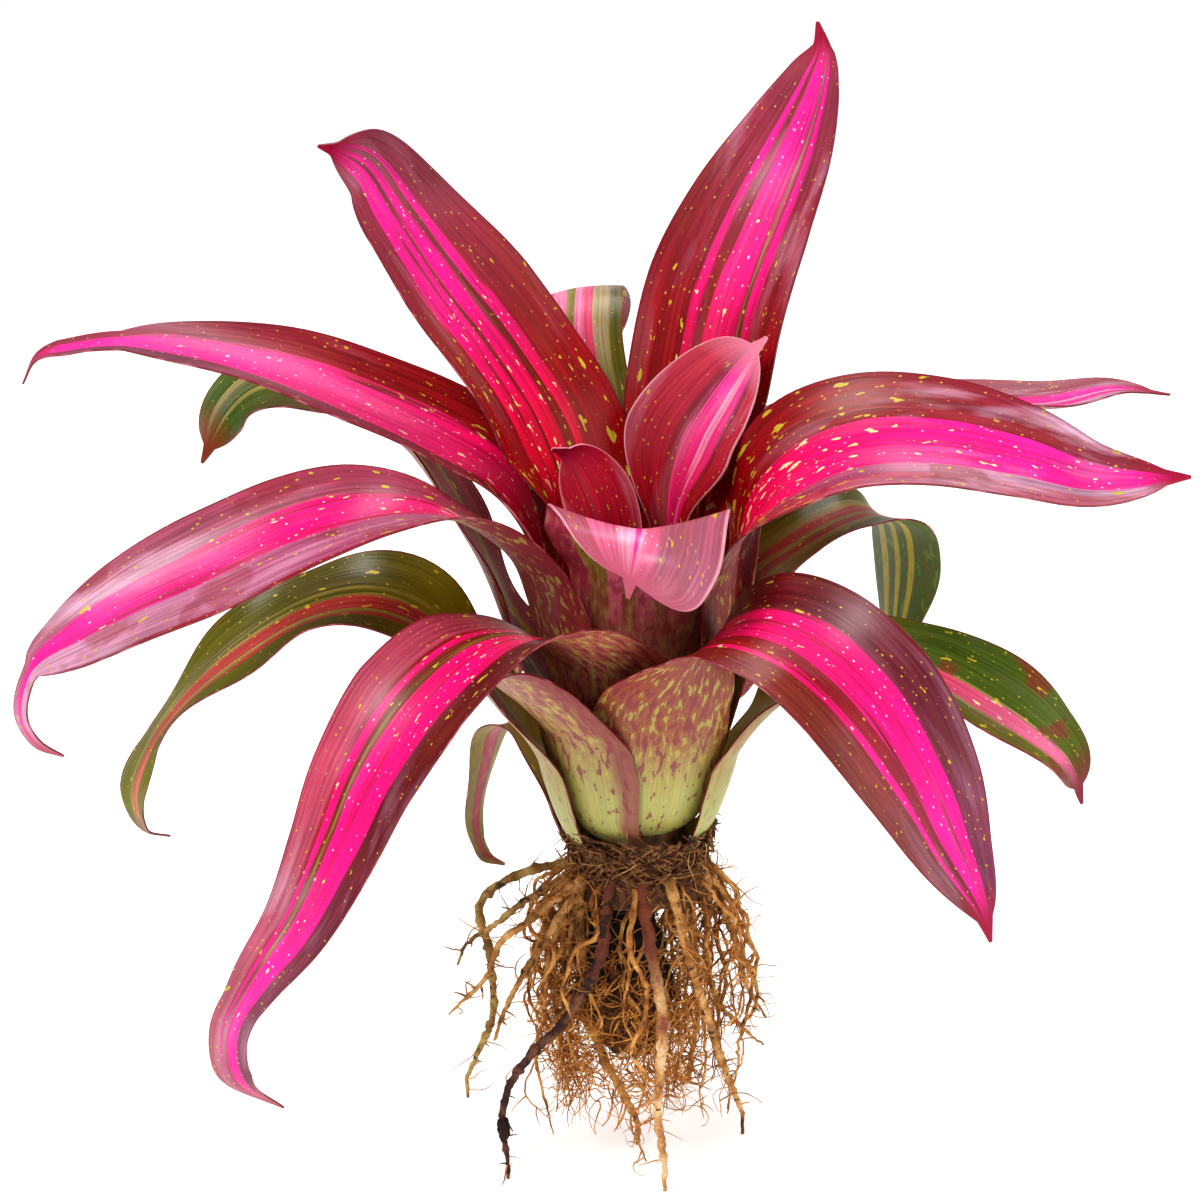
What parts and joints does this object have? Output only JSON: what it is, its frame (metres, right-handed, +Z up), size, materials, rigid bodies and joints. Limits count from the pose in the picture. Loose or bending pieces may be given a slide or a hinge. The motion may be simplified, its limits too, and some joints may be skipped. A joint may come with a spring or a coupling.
{
  "type": "neoregelia bromeliad",
  "caption": "Bare-root neoregelia bromeliad: arching strap leaves with bright pink centres in an open rosette round a cup, on a short stem with a tangled root mass.",
  "frame": {"origin": "on the flat end of the middle root, straight below the axis of the stem, at the height of the surface the plant stands on", "axes": "+Z up along the stem, -Y towards the viewer of the picture, +X to the viewer's right"},
  "size_m": [0.4437, 0.2709, 0.4392],
  "materials": {
    "leaf_skin": "satin",
    "stem_flesh": "matte",
    "dry_fibre": "matte",
    "root_bark": "matte"
  },
  "bodies": {
    "root": {"dry_leaf_bases": "dry_fibre", "leaf_01_back_left_hanging": "leaf_skin", "leaf_02_back_low": "leaf_skin", "leaf_03_left_curled": "leaf_skin", "leaf_04_right_hanging": "leaf_skin", "leaf_05_back_left_low": "leaf_skin", "leaf_06_front_left_low": "leaf_skin", "leaf_07_front_right": "leaf_skin", "leaf_08_right_arching": "leaf_skin", "leaf_09_left_back": "leaf_skin", "leaf_10_back_middle": "leaf_skin", "leaf_11_front_left": "leaf_skin", "leaf_12_right_back": "leaf_skin", "leaf_13_left_front": "leaf_skin", "leaf_14_right": "leaf_skin", "leaf_15_left": "leaf_skin", "leaf_16_back": "leaf_skin", "leaf_17_tall_right": "leaf_skin", "leaf_18_tall_left": "leaf_skin", "leaf_19_front_lip": "leaf_skin", "leaf_20_inner_right": "leaf_skin", "leaf_21_inner_left": "leaf_skin", "leaf_22_heart": "leaf_skin", "root_mass": "root_bark", "stem": "stem_flesh"}
  },
  "joints": []
}
